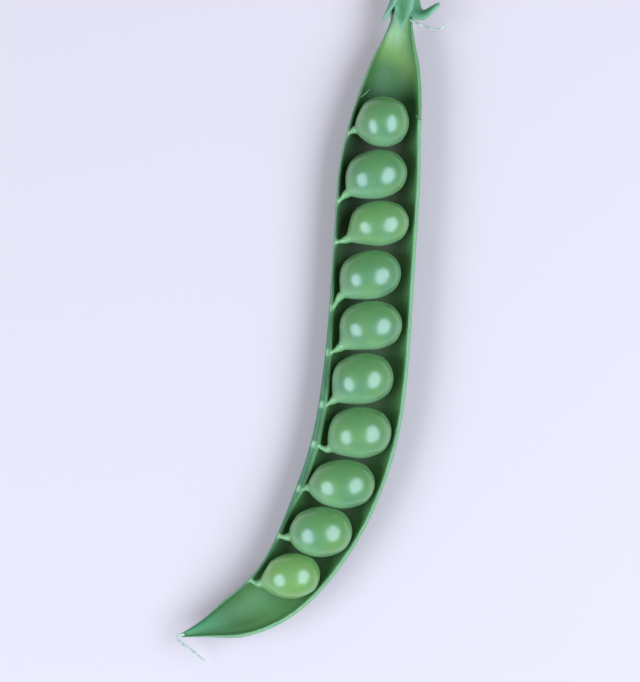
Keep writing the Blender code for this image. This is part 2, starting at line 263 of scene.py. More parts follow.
# %% The section of the valve at one place
WALL = 0.0010
WALL_FULL_DEPTH = 0.0025
RIM_WIDTH = 0.0008
SEAM_WIDTH = 0.0005
SEAM_EXTRA = 0.00095
RIM_FULL_HALF_WIDTH = 0.003
RIM_CROWN = 0.00033
RIM_ROUNDNESS = 3
RIM_CREST = 0.4
SEAM_CREST = 0.75
CLOSED_RIM = 0.15
BULGE = 0.00045
BULGE_REACH = 0.0026
KNOB_WIDTH = 0.00022
KNOB_CROWN = 0.00012
KNOB_REACH = 0.0009
CLOSED_UP_TO = -0.002
OPEN_FROM = 0.001
CLOSED_RISE = 0.9
GROOVE_DEPTH = 0.00022
GROOVE_SHARE = 0.5
GROOVE_SPREAD = 0.2
# Each row is a place along the pod, and how far the left rim has widened and sunk there
GROOVED = (
    (0.042, 0.0), (0.052, 0.4), (0.062, 0.9), (0.070, 1.0), (0.078, 0.9), (0.086, 0.1),
    (0.092, 0.0),
)
RIPPLES = ((0.0091, 0.00006, 0.4), (0.0053, 0.00004, 1.3), (0.0023, 0.00002, 2.2))
SEAM_RIPPLE_SHIFT = 2.0
SKIN_STEPS = 56
RIM_STEPS = 8
LINING_STEPS = 44


def ripple(along, shift=0.0):
    """Small waver of an edge, as a sum of waves given by length, height and start."""
    return sum(high * math.sin(2 * math.pi * along / long + start + shift) for long, high, start in RIPPLES)


def seam_width(along):
    """Width of the left rim, which bears the cords."""
    narrowed = min(1.0, half_width(along) / RIM_FULL_HALF_WIDTH)
    return (SEAM_WIDTH + SEAM_EXTRA * smooth(GROOVED, along)) * narrowed


def over_rim(edge, width, crown, waver, crest_share, groove=0.0, root=0.0):
    """Points over a rim, from its outer edge inwards, given as `valve_loop` says."""
    points = []
    for step in range(1, RIM_STEPS):
        share = step / RIM_STEPS
        rise = crown * (1 - abs(2 * share - 1) ** RIM_ROUNDNESS)
        dip = groove * math.exp(-(((share - GROOVE_SHARE) / GROOVE_SPREAD) ** 2))
        crest = ease((1 - share) / crest_share)
        points.append((edge + width * share, rise - dip + waver, crest, 1 - crest, root))
    return points


def valve_loop(along):
    """Points round the wall, from the left rim under the belly to the right rim and back
    through the lining. Each is its place across, its rise, and how much it is rim, lining
    and the root of a cord."""
    wide = half_width(along)
    deep = smooth(DEPTHS, along) + BULGE * swell(along, PEA_PLACES, BULGE_REACH)
    wall = WALL * min(1.0, deep / WALL_FULL_DEPTH)
    opened = ease((along - CLOSED_UP_TO) / (OPEN_FROM - CLOSED_UP_TO))
    narrowed = min(1.0, wide / RIM_FULL_HALF_WIDTH)
    groove = GROOVE_DEPTH * smooth(GROOVED, along)
    knob = opened * swell(along, ROOT_PLACES, KNOB_REACH)
    open_share = CLOSED_RIM + (1 - CLOSED_RIM) * opened
    rim = RIM_WIDTH * narrowed * open_share
    left_rim = seam_width(along) * open_share + KNOB_WIDTH * knob
    raised = opened * narrowed
    crown = RIM_CROWN * raised
    hollow = opened * (deep - wall) - (1 - opened) * CLOSED_RISE * wide
    loop = []
    for step in range(SKIN_STEPS + 1):
        angle = math.pi * (step / SKIN_STEPS - 0.5)
        loop.append((wide * math.sin(angle), -deep * math.cos(angle), 0.0, 0.0, 0.0))
    loop += over_rim(wide, -rim, crown, raised * ripple(along), RIM_CREST)
    for step in range(LINING_STEPS + 1):
        angle = math.pi * (0.5 - step / LINING_STEPS)
        side = wide - rim if angle > 0 else wide - left_rim
        loop.append((side * math.sin(angle), -hollow * math.cos(angle), 0.0, 1.0, 0.0))
    crown += KNOB_CROWN * knob
    waver = raised * ripple(along, SEAM_RIPPLE_SHIFT)
    return loop + over_rim(-wide, left_rim, crown, waver, SEAM_CREST, groove, knob)[::-1]


print("points round the wall:", len(valve_loop(0.05)))

# %% Roll a flat grid round the sections
RING_SPACING = 0.00045
GROUND = 0.0


def model_valve():
    """Straight valve along X, outer seam towards +Y, with its numbers painted on."""
    rings = math.ceil((LENGTH + HIDDEN_NECK) / RING_SPACING)
    around = len(valve_loop(0.0))
    bpy.ops.mesh.primitive_grid_add(x_subdivisions=rings, y_subdivisions=around, size=1.0)
    valve = bpy.context.object
    places = [-HIDDEN_NECK + (LENGTH + HIDDEN_NECK) * i / rings for i in range(rings + 1)]
    loops = [valve_loop(place) for place in places]
    painted = []
    for point in valve.data.vertices:
        ring = round((point.co.x + 0.5) * rings)
        across, rise, rim, lining, root = loops[ring][round((point.co.y + 0.5) * around) % around]
        place = places[ring]
        point.co = (place, across, max(rim_height(place) + rise, GROUND))
        shares = (place / LENGTH, across / half_width(place), -rise / RIM_HEIGHT)
        painted.append((*shares, rim, lining, root))
    for name, values in zip(("along", "across", "below", "rim", "lining", "root"), zip(*painted)):
        paint(valve, name, values)
    begin(valve, "valve")
    bpy.ops.mesh.select_all(action="SELECT")
    bpy.ops.mesh.remove_doubles(threshold=SAME_PLACE)
    for end in (places[0], places[-1]):
        pick(lambda point: abs(point.co.x - end) < SAME_PLACE)
        bpy.ops.mesh.edge_face_add()
    close_and_smooth(valve)
    return valve


valve = model_valve()
report(valve)

# %% [markdown]
# ## Bending the valve
#
# The straight valve now takes the pod's curve from a guide line with the Curve modifier.
# The modifier slides the mesh along the line, so lengths stay true and the rims stay
# square to it. A guide that is drawn in small steps keeps the bend even.

# %% Bend it along the middle line
def draw_line(name, points):
    """Curve object that runs straight from each point to the next."""
    curve = bpy.data.curves.new(name, "CURVE")
    curve.dimensions = "3D"
    line = curve.splines.new("POLY")
    line.points.add(len(points) - 1)
    for point, place in zip(line.points, points):
        point.co = (*place, 1.0)
    drawn = bpy.data.objects.new(name, curve)
    bpy.context.scene.collection.objects.link(drawn)
    return drawn


from_neck_on = PLACES > -LINE_STEP / 2
guide = draw_line("middle line", POINTS[from_neck_on])
apply_modifier(valve, "bend", "CURVE", object=guide, deform_axis="POS_X")
bpy.data.objects.remove(guide, do_unlink=True)
report(valve)

# %% [markdown]
# ## The peas
#
# A pea is nearly an egg, but it isn't round all over: at one side it runs out into a
# corner, where its cord takes over and leads to the seam. Each pea starts as a sphere
# whose pole points at that corner. The cap round the pole is taken off, and a weak Cast
# modifier makes the rest a little squarer, as peas grow that are pressed together. The open
# ring is then drawn out with extrude, scale and turn, first to the corner and then along
# the cord, which gets slimmer until it widens again where it meets the rim. Last, one
# level of subdivision rounds the facets, and a weak displacement gives the skin its faint
# dimples, so that reflections waver a little as they do on real peas.

# %% Draw a ring out along a route
PEA_LIFT = 0.0003
PEA_FLATNESS = 1.02
PEA_SEGMENTS = 32
PEA_RINGS = 30
PEA_SQUARENESS = 0.085
TAIL_CAP = math.radians(42)
TAIL_STEPS = 7
TAIL_START_PULL = 0.75
TAIL_END_PULL = 0.07
CORD_START = 0.0007
CORD_SLIM = 0.00034
CORD_SLIM_AT = 0.65
CORD_FOOT = 0.0006
CORD_PULL = 0.35
CORD_STEPS = 9
CORD_RISE = 0.0001
CORD_SUNK = 0.0004
DIMPLE_SIZE = 0.0035
DIMPLE_DEPTH = 0.00012


def bezier(points, share):
    """Point and direction at a share of a cubic curve with four control points."""
    a, b, c, d = points
    rest = 1 - share
    place = a * rest**3 + b * 3 * share * rest**2 + c * 3 * share**2 * rest + d * share**3
    way = (b - a) * rest**2 + (c - b) * 2 * share * rest + (d - c) * share**2
    return place, way.normalized()


def draw_ring_out(middle, step, scale, turn):
    """Extrudes the selected ring by a step, then scales and turns it round its new middle."""
    bpy.ops.mesh.extrude_region_move(TRANSFORM_OT_translate={"value": step})
    bpy.ops.transform.resize(value=scale, center_override=middle + step)
    # Without a window, transform.rotate turns clockwise, so a turn to the left is negative.
    bpy.ops.transform.rotate(value=-turn, orient_axis="Z", center_override=middle + step)
    return middle + step


print("ring helper ready")

# %% Model a pea and its cord
CORD_FROM = 0.86
CORD_TO = 1.12
YELLOWNESS = (0.25, 0.2, 0.5, 0.25, 0.3, 0.3, 0.35, 0.3, 0.4, 1.0)
dimples = bpy.data.textures.new("dimples", "CLOUDS")
dimples.noise_scale = DIMPLE_SIZE


def plan_angle(way):
    return math.atan2(way.y, way.x)


def start_egg(name, centre, halves, lean_angle, corner_turn):
    """Egg of these half sizes with its cap off at the corner, opened with the ring selected."""
    bpy.ops.mesh.primitive_uv_sphere_add(
        segments=PEA_SEGMENTS, ring_count=PEA_RINGS, radius=1.0, rotation=(0, math.pi / 2, corner_turn)
    )
    egg = bpy.context.object
    bpy.ops.object.transform_apply(location=False, rotation=True, scale=False)
    begin(egg, name)
    pole = Vector((math.cos(corner_turn), math.sin(corner_turn), 0))
    half_belt = math.pi / PEA_RINGS / 2
    pick(lambda point: point.co.normalized().dot(pole) > math.cos(TAIL_CAP - half_belt))
    bpy.ops.mesh.delete(type="VERT")
    bpy.ops.object.mode_set(mode="OBJECT")
    apply_modifier(egg, "squarer", "CAST", cast_type="CUBOID", factor=PEA_SQUARENESS, use_z=False)
    egg.scale = halves
    egg.rotation_euler = (0, 0, lean_angle)
    egg.location = centre
    bpy.ops.object.transform_apply(location=True, rotation=True, scale=True)
    bpy.ops.object.mode_set(mode="EDIT")
    bpy.ops.mesh.select_non_manifold()
    return egg


def open_ring(piece):
    """Middle of the selected ring, with its half sizes flat and upright."""
    ring = [point.co.copy() for point in bmesh.from_edit_mesh(piece.data).verts if point.select]
    middle = sum(ring, Vector()) / len(ring)
    flat_size = max((point - middle).xy.length for point in ring)
    tall_size = max(point.z for point in ring) - middle.z
    return middle, flat_size, tall_size


def tail_curve(size, steepness, reach):
    """Curve of a ring's half size against its distance, from the egg to the cord."""
    start = Vector((0, size))
    end = Vector((reach, CORD_START))
    pulled = (end - start).length
    leaving = start + Vector(steepness).normalized() * pulled * TAIL_START_PULL
    arriving = end - Vector((pulled * TAIL_END_PULL, 0))
    return start, leaving, arriving, end


def cord_radius(share):
    """Half thickness of a cord, which narrows from the corner and widens again in the seam."""
    slimmer = ease(share / CORD_SLIM_AT)
    foot = ease((share - CORD_SLIM_AT) / (1 - CORD_SLIM_AT))
    return CORD_START + (CORD_SLIM - CORD_START) * slimmer + (CORD_FOOT - CORD_SLIM) * foot


def model_pea(rank, along, across, half_long, half_wide, lean, corner_lean, corner_reach, pull):
    """One pea, lying across the pod, with its corner and its cord down into the seam."""
    centre = spot(along, across, PEA_LIFT)
    forward, outward = heading(along)
    off_axis = math.radians(corner_lean - lean)
    long_way = forward * math.sin(math.radians(lean)) - outward * math.cos(math.radians(lean))
    half_tall = half_wide * PEA_FLATNESS
    corner_turn = math.atan2(math.sin(off_axis) / half_wide, math.cos(off_axis) / half_long)
    lean_angle = plan_angle(long_way)
    halves = (half_long, half_wide, half_tall)
    pea = start_egg(f"pea_skin_{rank:02d}", centre, halves, lean_angle, corner_turn)

    # The open ring is drawn out to the corner. It turns from square to the sphere's pole to
    # square to the line that it moves along.
    pole_reach = math.hypot(half_long * math.cos(corner_turn), half_wide * math.sin(corner_turn))
    side_reach = math.hypot(half_long * math.sin(corner_turn), half_wide * math.cos(corner_turn))
    way = Matrix.Rotation(lean_angle + off_axis, 3, "Z") @ Vector((1, 0, 0))
    ring_angle = math.atan2(math.sin(corner_turn) / half_wide, math.cos(corner_turn) / half_long)
    steep, cosine = pole_reach * math.sin(TAIL_CAP), math.cos(TAIL_CAP)
    middle, flat_size, tall_size = open_ring(pea)
    tail = centre + way * corner_reach - middle
    plan = tail_curve(flat_size, (steep, -side_reach * cosine), tail.length)
    tall = tail_curve(tall_size, (steep, -half_tall * cosine), tail.length)
    was_plan, was_tall = plan[0], tall[0]
    for step in range(1, TAIL_STEPS + 1):
        now_plan = bezier(plan, step / TAIL_STEPS)[0]
        now_tall = bezier(tall, step / TAIL_STEPS)[0]
        thinner = now_plan.y / was_plan.y
        turn = (off_axis - ring_angle) / TAIL_STEPS
        scale = (thinner, thinner, now_tall.y / was_tall.y)
        middle = draw_ring_out(middle, tail.normalized() * (now_plan.x - was_plan.x), scale, turn)
        was_plan, was_tall = now_plan, now_tall

    # Then it runs on as the cord.
    root_place = along + pull
    root = spot(root_place, seam_width(root_place) - CORD_SUNK - half_width(root_place), CORD_RISE)
    pulled = (root - middle).length * CORD_PULL
    into_seam = ((root - middle).normalized() - heading(root_place)[1]).normalized()
    route = (middle, middle + way * pulled, root - into_seam * pulled, root)
    angle, radius = plan_angle(way), CORD_START
    for step in range(1, CORD_STEPS + 1):
        place, on = bezier(route, step / CORD_STEPS)
        now_radius = cord_radius(step / CORD_STEPS)
        middle = draw_ring_out(middle, place - middle, (now_radius / radius,) * 3, plan_angle(on) - angle)
        angle, radius = plan_angle(on), now_radius
    bpy.ops.mesh.edge_face_add()
    close_and_smooth(pea)
    apply_modifier(pea, "round", "SUBSURF", levels=1, render_levels=1)
    dimpled = {"texture": dimples, "texture_coords": "GLOBAL", "strength": DIMPLE_DEPTH}
    apply_modifier(pea, "dimples", "DISPLACE", **dimpled)

    points = pea.data.vertices
    away = [(point.co - centre).length / corner_reach for point in points]
    paint(pea, "cord", [ease((far - CORD_FROM) / (CORD_TO - CORD_FROM)) for far in away])
    # tipward and side carry the finish's painted shade and light: darker towards the neck, lighter towards
    # the tip and pale on the flanks
    paint(pea, "tipward", [(point.co - centre).dot(forward) / half_wide for point in points])
    paint(pea, "yellow", [YELLOWNESS[rank - 1]] * len(points))
    paint(pea, "side", [1 - abs(point.normal.z) for point in points])
    return pea


peas = [model_pea(rank, *row) for rank, row in enumerate(PEAS, 1)]
for pea in peas:
    report(pea)

# %% [markdown]
# ## The calyx
#
# The calyx is the green cup that held the flower: it clasps the pod's neck and ends in
# five pointed sepals that dry and curl back as the pod ripens. The cup is a filled circle,
# extruded forward in rings, then inward and back again for the socket that the neck sits
# in. A sepal is a flat grid whose rows are scaled to a leaf's outline and then turned one
# after the other, from the tip down, so that the blade curls. Cup and sepals grew as one,
# so they are joined, and a voxel remesh melts them into a single skin with soft hollows
# where they meet.

# %% Model the cup
CUP_FROM = -0.0076
CUP_TO = -0.0036
# Each row is a share of the cup's length and its radius there
CUP_OUTSIDE = ((0.0, 0.0011), (0.2, 0.0018), (0.45, 0.0023), (1.0, 0.0024))
CUP_RINGS = 8
CUP_SIDES = 48
SOCKET_RINGS = 3


def model_cup():
    """Cup round the pod's neck, closed behind and open in front."""
    forward = heading(CUP_FROM)[0]
    middle, radius = spot(CUP_FROM, 0), CUP_OUTSIDE[0][1]
    bpy.ops.mesh.primitive_circle_add(
        vertices=CUP_SIDES,
        radius=radius,
        fill_type="NGON",
        location=middle,
        rotation=(0, math.pi / 2, plan_angle(forward)),
    )
    cup = bpy.context.object
    bpy.ops.object.transform_apply(location=True, rotation=True, scale=False)
    begin(cup, "calyx_leaf")
    bpy.ops.mesh.select_all(action="SELECT")
    stations = []
    for ring in range(1, CUP_RINGS + 1):
        share = ring / CUP_RINGS
        stations.append((CUP_FROM + (CUP_TO - CUP_FROM) * share, smooth(CUP_OUTSIDE, share)))
    for ring in range(SOCKET_RINGS + 1):
        place = CUP_TO - (HIDDEN_NECK + CUP_TO) * ring / SOCKET_RINGS
        stations.append((place, half_width(place)))
    for place, wide in stations:
        middle = draw_ring_out(middle, spot(place, 0) - middle, (wide / radius,) * 3, 0.0)
        radius = wide
    close_and_smooth(cup)
    return cup


cup = model_cup()
report(cup)

# %% Model a sepal
# One row for each sepal: its place round the neck, its length, the angle at which it
# leaves the cup, how far it curls away, the share of its length where it curls most, over
# what share it does, and how far its blade twists
SEPALS = (
    (90, 0.0068, 4, 10, 0.5, 0.7, 0),
    (166, 0.0060, 4, 16, 0.5, 0.7, 8),
    (20, 0.0080, 3, 124, 0.50, 0.42, 46),
    (232, 0.0054, 2, 6, 0.5, 0.7, 0),
    (300, 0.0056, 2, 8, 0.5, 0.7, 0),
)
SEPAL_ROOT = -0.0052
SEPAL_ROOT_RADIUS = 0.00192
SEPAL_HALF_WIDTH = 0.00125
SEPAL_TIP_HALF_WIDTH = 0.00022
SEPAL_TAPER = (2.2, 0.8)
SEPAL_WAIST = 0.85
SEPAL_SWELL = 0.3
SEPAL_THICKNESS = 0.00048
SEPAL_ARCH = 0.00045
SEPAL_TWIST_SHARE = 0.6
SEPAL_COLUMNS = 8
SEPAL_ROWS = 24


def sepal_half_width(share):
    """Half width of a sepal at a share of its length: a waist, a swell and a pointed tip."""
    body = SEPAL_WAIST + SEPAL_SWELL * math.sin(math.pi * share)
    narrowing = (1 - share ** SEPAL_TAPER[0]) ** SEPAL_TAPER[1]
    return SEPAL_HALF_WIDTH * body * narrowing + SEPAL_TIP_HALF_WIDTH


def model_sepal(turn, length, start, curl, curl_at, curl_span, twist):
    """One sepal in its place round the neck, with the line of points down its middle."""
    bpy.ops.mesh.primitive_grid_add(x_subdivisions=SEPAL_COLUMNS, y_subdivisions=SEPAL_ROWS, size=2.0)
    sepal = bpy.context.object
    row_of = [round((point.co.y + 1) / 2 * SEPAL_ROWS) for point in sepal.data.vertices]
    midrib = [point.index for point in sepal.data.vertices if abs(point.co.x) < SAME_PLACE]
    begin(sepal, "sepal")

    # The sheet is arched from edge to edge, stretched to length and scaled row by row.
    for column in range(1, SEPAL_COLUMNS // 2 + 1):
        out = 2 * column / SEPAL_COLUMNS
        pick(lambda point: abs(abs(point.co.x) - out) < SAME_PLACE)
        bpy.ops.transform.translate(value=(0, 0, -SEPAL_ARCH * out * out))
    bpy.ops.mesh.select_all(action="SELECT")
    bpy.ops.transform.resize(value=(1, length / 2, 1), center_override=(0, -1, 0))
    bpy.ops.transform.translate(value=(0, 1, 0))
    for row in range(SEPAL_ROWS + 1):
        wide = sepal_half_width(row / SEPAL_ROWS)
        pick(lambda point: row_of[point.index] == row)
        flatter = (wide / SEPAL_HALF_WIDTH) ** 2
        middle = (0, length * row / SEPAL_ROWS, 0)
        bpy.ops.transform.resize(value=(wide, 1, flatter), center_override=middle)
        twisted = math.radians(twist) * ease(row / SEPAL_ROWS / SEPAL_TWIST_SHARE)
        bpy.ops.transform.rotate(value=-twisted, orient_axis="Y", center_override=middle)

    # The rows are turned from the tip down, each taking along all that lie beyond it.
    angles = [0.0]
    for row in range(SEPAL_ROWS):
        curled = ease((row / SEPAL_ROWS - curl_at) / curl_span + 0.5)
        angles.append(math.radians(start + curl * curled))
    for row in reversed(range(SEPAL_ROWS)):
        pick(lambda point: row_of[point.index] > row)
        turned = angles[row + 1] - angles[row]
        hinge = (0, length * row / SEPAL_ROWS, 0)
        bpy.ops.transform.rotate(value=-turned, orient_axis="X", center_override=hinge)
    bpy.ops.object.mode_set(mode="OBJECT")

    forward, outward = heading(SEPAL_ROOT)
    away = outward * math.cos(math.radians(turn)) + Vector((0, 0, math.sin(math.radians(turn))))
    axes = Matrix((forward.cross(away), forward, away)).transposed()
    root = spot(SEPAL_ROOT, 0) + away * SEPAL_ROOT_RADIUS
    sepal.matrix_world = Matrix.Translation(root) @ axes.to_4x4()
    bpy.ops.object.transform_apply(location=True, rotation=True, scale=False)
    line = [sepal.data.vertices[index].co.copy() for index in midrib]
    apply_modifier(sepal, "blade", "SOLIDIFY", thickness=SEPAL_THICKNESS, offset=0.0)
    return sepal, line


sepals = [model_sepal(*row) for row in SEPALS]
print("sepals:", len(sepals))

# %% Melt cup and sepals together
CALYX_VOXEL = 0.00009


def join_calyx(cup, sepals):
    """One skin over the cup and its sepals, with numbers for where on a blade a point is."""
    choose(cup, *(sepal for sepal, _ in sepals))
    bpy.ops.object.join()
    apply_modifier(cup, "melt", "REMESH", mode="VOXEL", voxel_size=CALYX_VOXEL, use_smooth_shade=True)
    apply_modifier(cup, "soften", "SMOOTH", factor=0.5, iterations=4)
    points = np.array([point.co for point in cup.data.vertices])
    nearest = np.full(len(points), np.inf)
    share, edge = np.zeros(len(points)), np.zeros(len(points))
    for _, line in sepals:
        for row, place in enumerate(line):
            far = np.linalg.norm(points - np.array(place), axis=1)
            closer = far < nearest
            nearest[closer] = far[closer]
            share[closer] = row / SEPAL_ROWS
            edge[closer] = far[closer] / sepal_half_width(row / SEPAL_ROWS)
    paint(cup, "blade", share)
    paint(cup, "edge", edge)
    return cup


calyx = join_calyx(cup, sepals)
report(calyx)

# %% [markdown]
# ## The stalk and the dried threads
#
# The stalk is a thin green stem that thickens just behind the calyx. The threads are what
# is left of the flower: the style still sits on the pod's tip, and one stamen hangs at its
# neck. All three are round stems of changing thickness, so each is drawn as a curve with a
# radius at every point and a round bevel, and is then made a mesh. Each starts a little
# inside what it grows from, so that no gap shows.

# %% Draw the stems
STALK_SUNK = 0.0006
STALK_GAP = 0.0003
STALK_LENGTH = 0.014
STALK_TOP_RADIUS = 0.00125
STALK_RADIUS = 0.0007
STALK_FLARE_SHARE = 0.22
STALK_BEND = 38
STALK_BEND_POWER = 1.3
STALK_RISE = 14
STALK_RINGS = 48
# A route is a row of places: along the pod, across it, and their rise over the rim
STYLE_ROUTE = (
    (0.1130, 0.0000, -0.0002), (0.1140, -0.0001, -0.0001), (0.1142, 0.0004, -0.0003),
    (0.1139, 0.0013, -0.0005), (0.1133, 0.0020, -0.0008), (0.1122, 0.0036, -0.0014),
    (0.1113, 0.0051, -0.0021),
)
STAMEN_ROUTE = (
    (0.0000, 0.0014, 0.0000), (0.0004, 0.0025, 0.0002), (0.0007, 0.0037, 0.0006),
    (0.0011, 0.0050, 0.0008), (0.0008, 0.0064, 0.0006), (0.0002, 0.0070, 0.0008),
)
STYLE_RADIUS = 0.00026
STAMEN_RADIUS = 0.00023
THREAD_TAPER = 0.4
THREAD_STEPS = 8
STEM_ROUNDNESS = 9
STEM_RIBS = 6


def draw_stem(name, points, radii):
    """Round stem through points with a radius at each, closed at both ends. A number that
    rises and falls round the stem is painted on, for ribs that run along it."""
    stem = draw_line(name, points)
    stem.data.bevel_depth = 1.0
    stem.data.bevel_resolution = STEM_ROUNDNESS
    stem.data.use_fill_caps = True
    stem.data.splines[0].points.foreach_set("radius", radii)
    choose(stem)
    bpy.ops.object.convert(target="MESH")
    begin(stem, name)
    close_and_smooth(stem)
    bpy.ops.object.shade_smooth_by_angle(angle=math.radians(50))

    middles = np.array(points)
    ways = np.gradient(middles, axis=0)
    ribs = []
    for point in stem.data.vertices:
        nearest = int(np.argmin(np.linalg.norm(middles - np.array(point.co), axis=1)))
        out = point.co - points[nearest]
        side = Vector(ways[nearest]).cross(Vector((0, 0, 1))).normalized()
        ribs.append(math.cos(STEM_RIBS * math.atan2(out.z, out.dot(side))))
    paint(stem, "rib", ribs)
    return stem


def draw_stalk():
    start = CUP_FROM - STALK_GAP
    forward, outward = heading(start)
    points, radii = [spot(CUP_FROM + STALK_SUNK, 0)], [STALK_TOP_RADIUS]
    place = spot(start, 0)
    for ring in range(STALK_RINGS + 1):
        share = ring / STALK_RINGS
        bend = math.radians(STALK_BEND) * share**STALK_BEND_POWER
        rise = math.radians(STALK_RISE) * math.sin(math.pi * share)
        way = -forward * math.cos(bend) - outward * math.sin(bend)
        way = (way * math.cos(rise) + Vector((0, 0, math.sin(rise)))).normalized()
        flare = 1 - ease(share / STALK_FLARE_SHARE)
        points.append(place)
        radii.append(STALK_RADIUS + (STALK_TOP_RADIUS - STALK_RADIUS) * flare)
        place = place + way * (STALK_LENGTH / STALK_RINGS)
    return draw_stem("stalk_stem", points, radii)


def draw_thread(name, route, radius):
    stops = [spot(*stop) for stop in route]
    tracks = [[(mark, stop[axis]) for mark, stop in enumerate(stops)] for axis in range(3)]
    last = (len(stops) - 1) * THREAD_STEPS
    points = [Vector([smooth(track, i / THREAD_STEPS) for track in tracks]) for i in range(last + 1)]
    return draw_stem(name, points, [radius * (1 - THREAD_TAPER * i / last) for i in range(last + 1)])


stalk = draw_stalk()
style = draw_thread("style_thread", STYLE_ROUTE, STYLE_RADIUS)
stamen = draw_thread("stamen_thread", STAMEN_ROUTE, STAMEN_RADIUS)
for stem in (stalk, style, stamen):
    report(stem)

# %% [markdown]
# ## Torn fibres
#
# Where the other valve was pulled off, a few pale fibres stay on the rim. They belong to
# the valve, so the little stems are joined to its mesh. Their painted numbers make the
# pod's finish show them as pale rim.

# %% Tear two fibres
FIBRES = (
    ((0.0157, 0.0054, 0.0001), (0.0154, 0.0050, 0.0004), (0.0150, 0.0045, 0.0003)),
    ((0.0136, -0.0048, -0.0001), (0.0131, -0.0042, 0.0003), (0.0121, -0.0035, 0.0002)),
)
FIBRE_RADIUS = 0.00016


def tear_fibre(route):
    """Pale fibre on the rim, made part of the valve."""
    fibre = draw_thread("fibre", route, FIBRE_RADIUS)
    for name in ("rim", "root"):
        paint(fibre, name, [1.0] * len(fibre.data.vertices))
    choose(valve, fibre)
    bpy.ops.object.join()


for route in FIBRES:
    tear_fibre(route)
report(valve)

# %% [markdown]
# ## How the finishes are built
#
# Every finish is one Principled shader with a small net of nodes before it. `node` adds a
# node and links or sets its inputs. `number` reads what was painted on the points,
# `between` turns one range of numbers softly into another, and `blend` mixes two colours.
# Colours are written as they look on a screen, from 0 to 255, and `seen` turns them into
# the even light values that Blender reckons with.

# %% Finish helpers
def seen(red, green, blue):
    """Linear colour for a colour as seen on a screen."""
    shares = [value / 255 for value in (red, green, blue)]
    linear = [share / 12.92 if share <= 0.04045 else ((share + 0.055) / 1.055) ** 2.4 for share in shares]
    return (*linear, 1.0)


def new_finish(name, **settings):
    """New material with its node tree and its shader, whose plain settings are given."""
    finish = bpy.data.materials.new(name)
    finish.use_nodes = True
    shader = finish.node_tree.nodes["Principled BSDF"]
    for socket, value in settings.items():
        shader.inputs[socket.replace("_", " ")].default_value = value
    return finish, finish.node_tree, shader


def node(tree, kind, inputs, **settings):
    """Adds a node. An input is a plain value, or the output of another node to link."""
    made = tree.nodes.new("ShaderNode" + kind)
    for setting, value in settings.items():
        setattr(made, setting, value)
    for socket, value in inputs.items():
        if isinstance(value, bpy.types.NodeSocket):
            tree.links.new(value, made.inputs[socket])
        else:
            made.inputs[socket].default_value = value
    return made


def number(tree, name):
    """Number painted on the points."""
    return node(tree, "Attribute", {}, attribute_name=name).outputs["Fac"]


def blend(tree, share, first, second):
    """Colour between two, by a share from 0 to 1."""
    inputs = {0: share, 6: first, 7: second}
    return node(tree, "Mix", inputs, data_type="RGBA", clamp_factor=True).outputs[2]


def product(tree, first, second):
    """One number times another."""
    return node(tree, "Math", {0: first, 1: second}, operation="MULTIPLY").outputs[0]


def between(tree, value, low, high, first=0.0, second=1.0):
    """Number that goes smoothly from first to second as the value goes from low to high."""
    inputs = {"Value": value, "From Min": low, "From Max": high, "To Min": first, "To Max": second}
    return node(tree, "MapRange", inputs, interpolation_type="SMOOTHSTEP").outputs["Result"]


def ramp(tree, value, stops):
    """Colour read off a row of (place, colour) stops."""
    made = node(tree, "ValToRGB", {"Fac": value})
    elements = made.color_ramp.elements
    elements.remove(elements[1])
    elements[0].position = stops[0][0]
    elements[0].color = stops[0][1]
    for place, colour in stops[1:]:
        elements.new(place).color = colour
    return made.outputs["Color"]


def noise(tree, where, scale, detail=3.0, roughness=0.55):
    """Cloudy number between 0 and 1 that varies over the given places."""
    inputs = {"Vector": where, "Scale": scale, "Detail": detail, "Roughness": roughness}
    return node(tree, "TexNoise", inputs).outputs["Fac"]


def stretched(tree, where, size, turn=0.0):
    """The same places, sized along each axis and turned, to stretch a pattern."""
    inputs = {"Vector": where, "Scale": size, "Rotation": (0, 0, turn)}
    return node(tree, "Mapping", inputs).outputs["Vector"]


def place_on(tree):
    """Place on the object itself, in metres."""
    return node(tree, "TexCoord", {}).outputs["Object"]


def relief(tree, shader, height, depth, strength=1.0, under=None):
    """Bump of a given depth in metres, laid over another one if there is one."""
    inputs = {"Height": height, "Distance": depth, "Strength": strength}
    if under:
        inputs["Normal"] = under
    made = node(tree, "Bump", inputs).outputs["Normal"]
    tree.links.new(made, shader.inputs["Normal"])
    return made


print("finish helpers ready")

# %% [markdown]
# ## Finish of the pod
#
# One finish serves the whole valve, because its zones run into each other. The outside is
# waxy deep green with a fine net of wrinkles. The outer rim is pale from the first pea on.
# The seam is a dark band of painted shade with a thin pale crest, partly its own colour and
# partly a painted highlight, which is duller where the seam is wide, and it is palest where a
# cord is rooted. The lining is a satin skin with faint slanting fibres: whitish at the neck,
# yellow-green below it, with painted shade just above the first pea and a dull brownish
# green of painted shade among the peas, painted light up the outer wall and along the top of
# the lining, and bluish towards the tip. The pattern follows the surface through the grid's
# own UV map, scaled to millimetres.

# %% The pod's finish
UV_MM = (119.5, 36.0, 1.0)
# Each row is a share of the pod's length, and the colour or the strength there
LINING_COLOURS_AND_SHADE = (
    (0.000, seen(154, 184, 144)),
    (0.022, seen(164, 190, 136)),
    (0.045, seen(116, 148, 62)),
    (0.070, seen(66, 104, 42)),
    # From here to the stop at 0.300 the darker colours are painted shade, above the first pea and among the
    # first peas
    (0.098, seen(56, 98, 46)),
    (0.112, seen(46, 82, 38)),
    (0.140, seen(70, 106, 56)),
    (0.180, seen(62, 90, 54)),
    (0.300, seen(64, 92, 54)),
    (0.400, seen(86, 130, 72)),
    (0.820, seen(92, 138, 78)),
    (0.870, seen(94, 142, 76)),
    (0.900, seen(72, 112, 56)),
    (0.930, seen(54, 100, 48)),
    (0.965, seen(34, 110, 76)),
    (1.000, seen(56, 130, 100)),
)
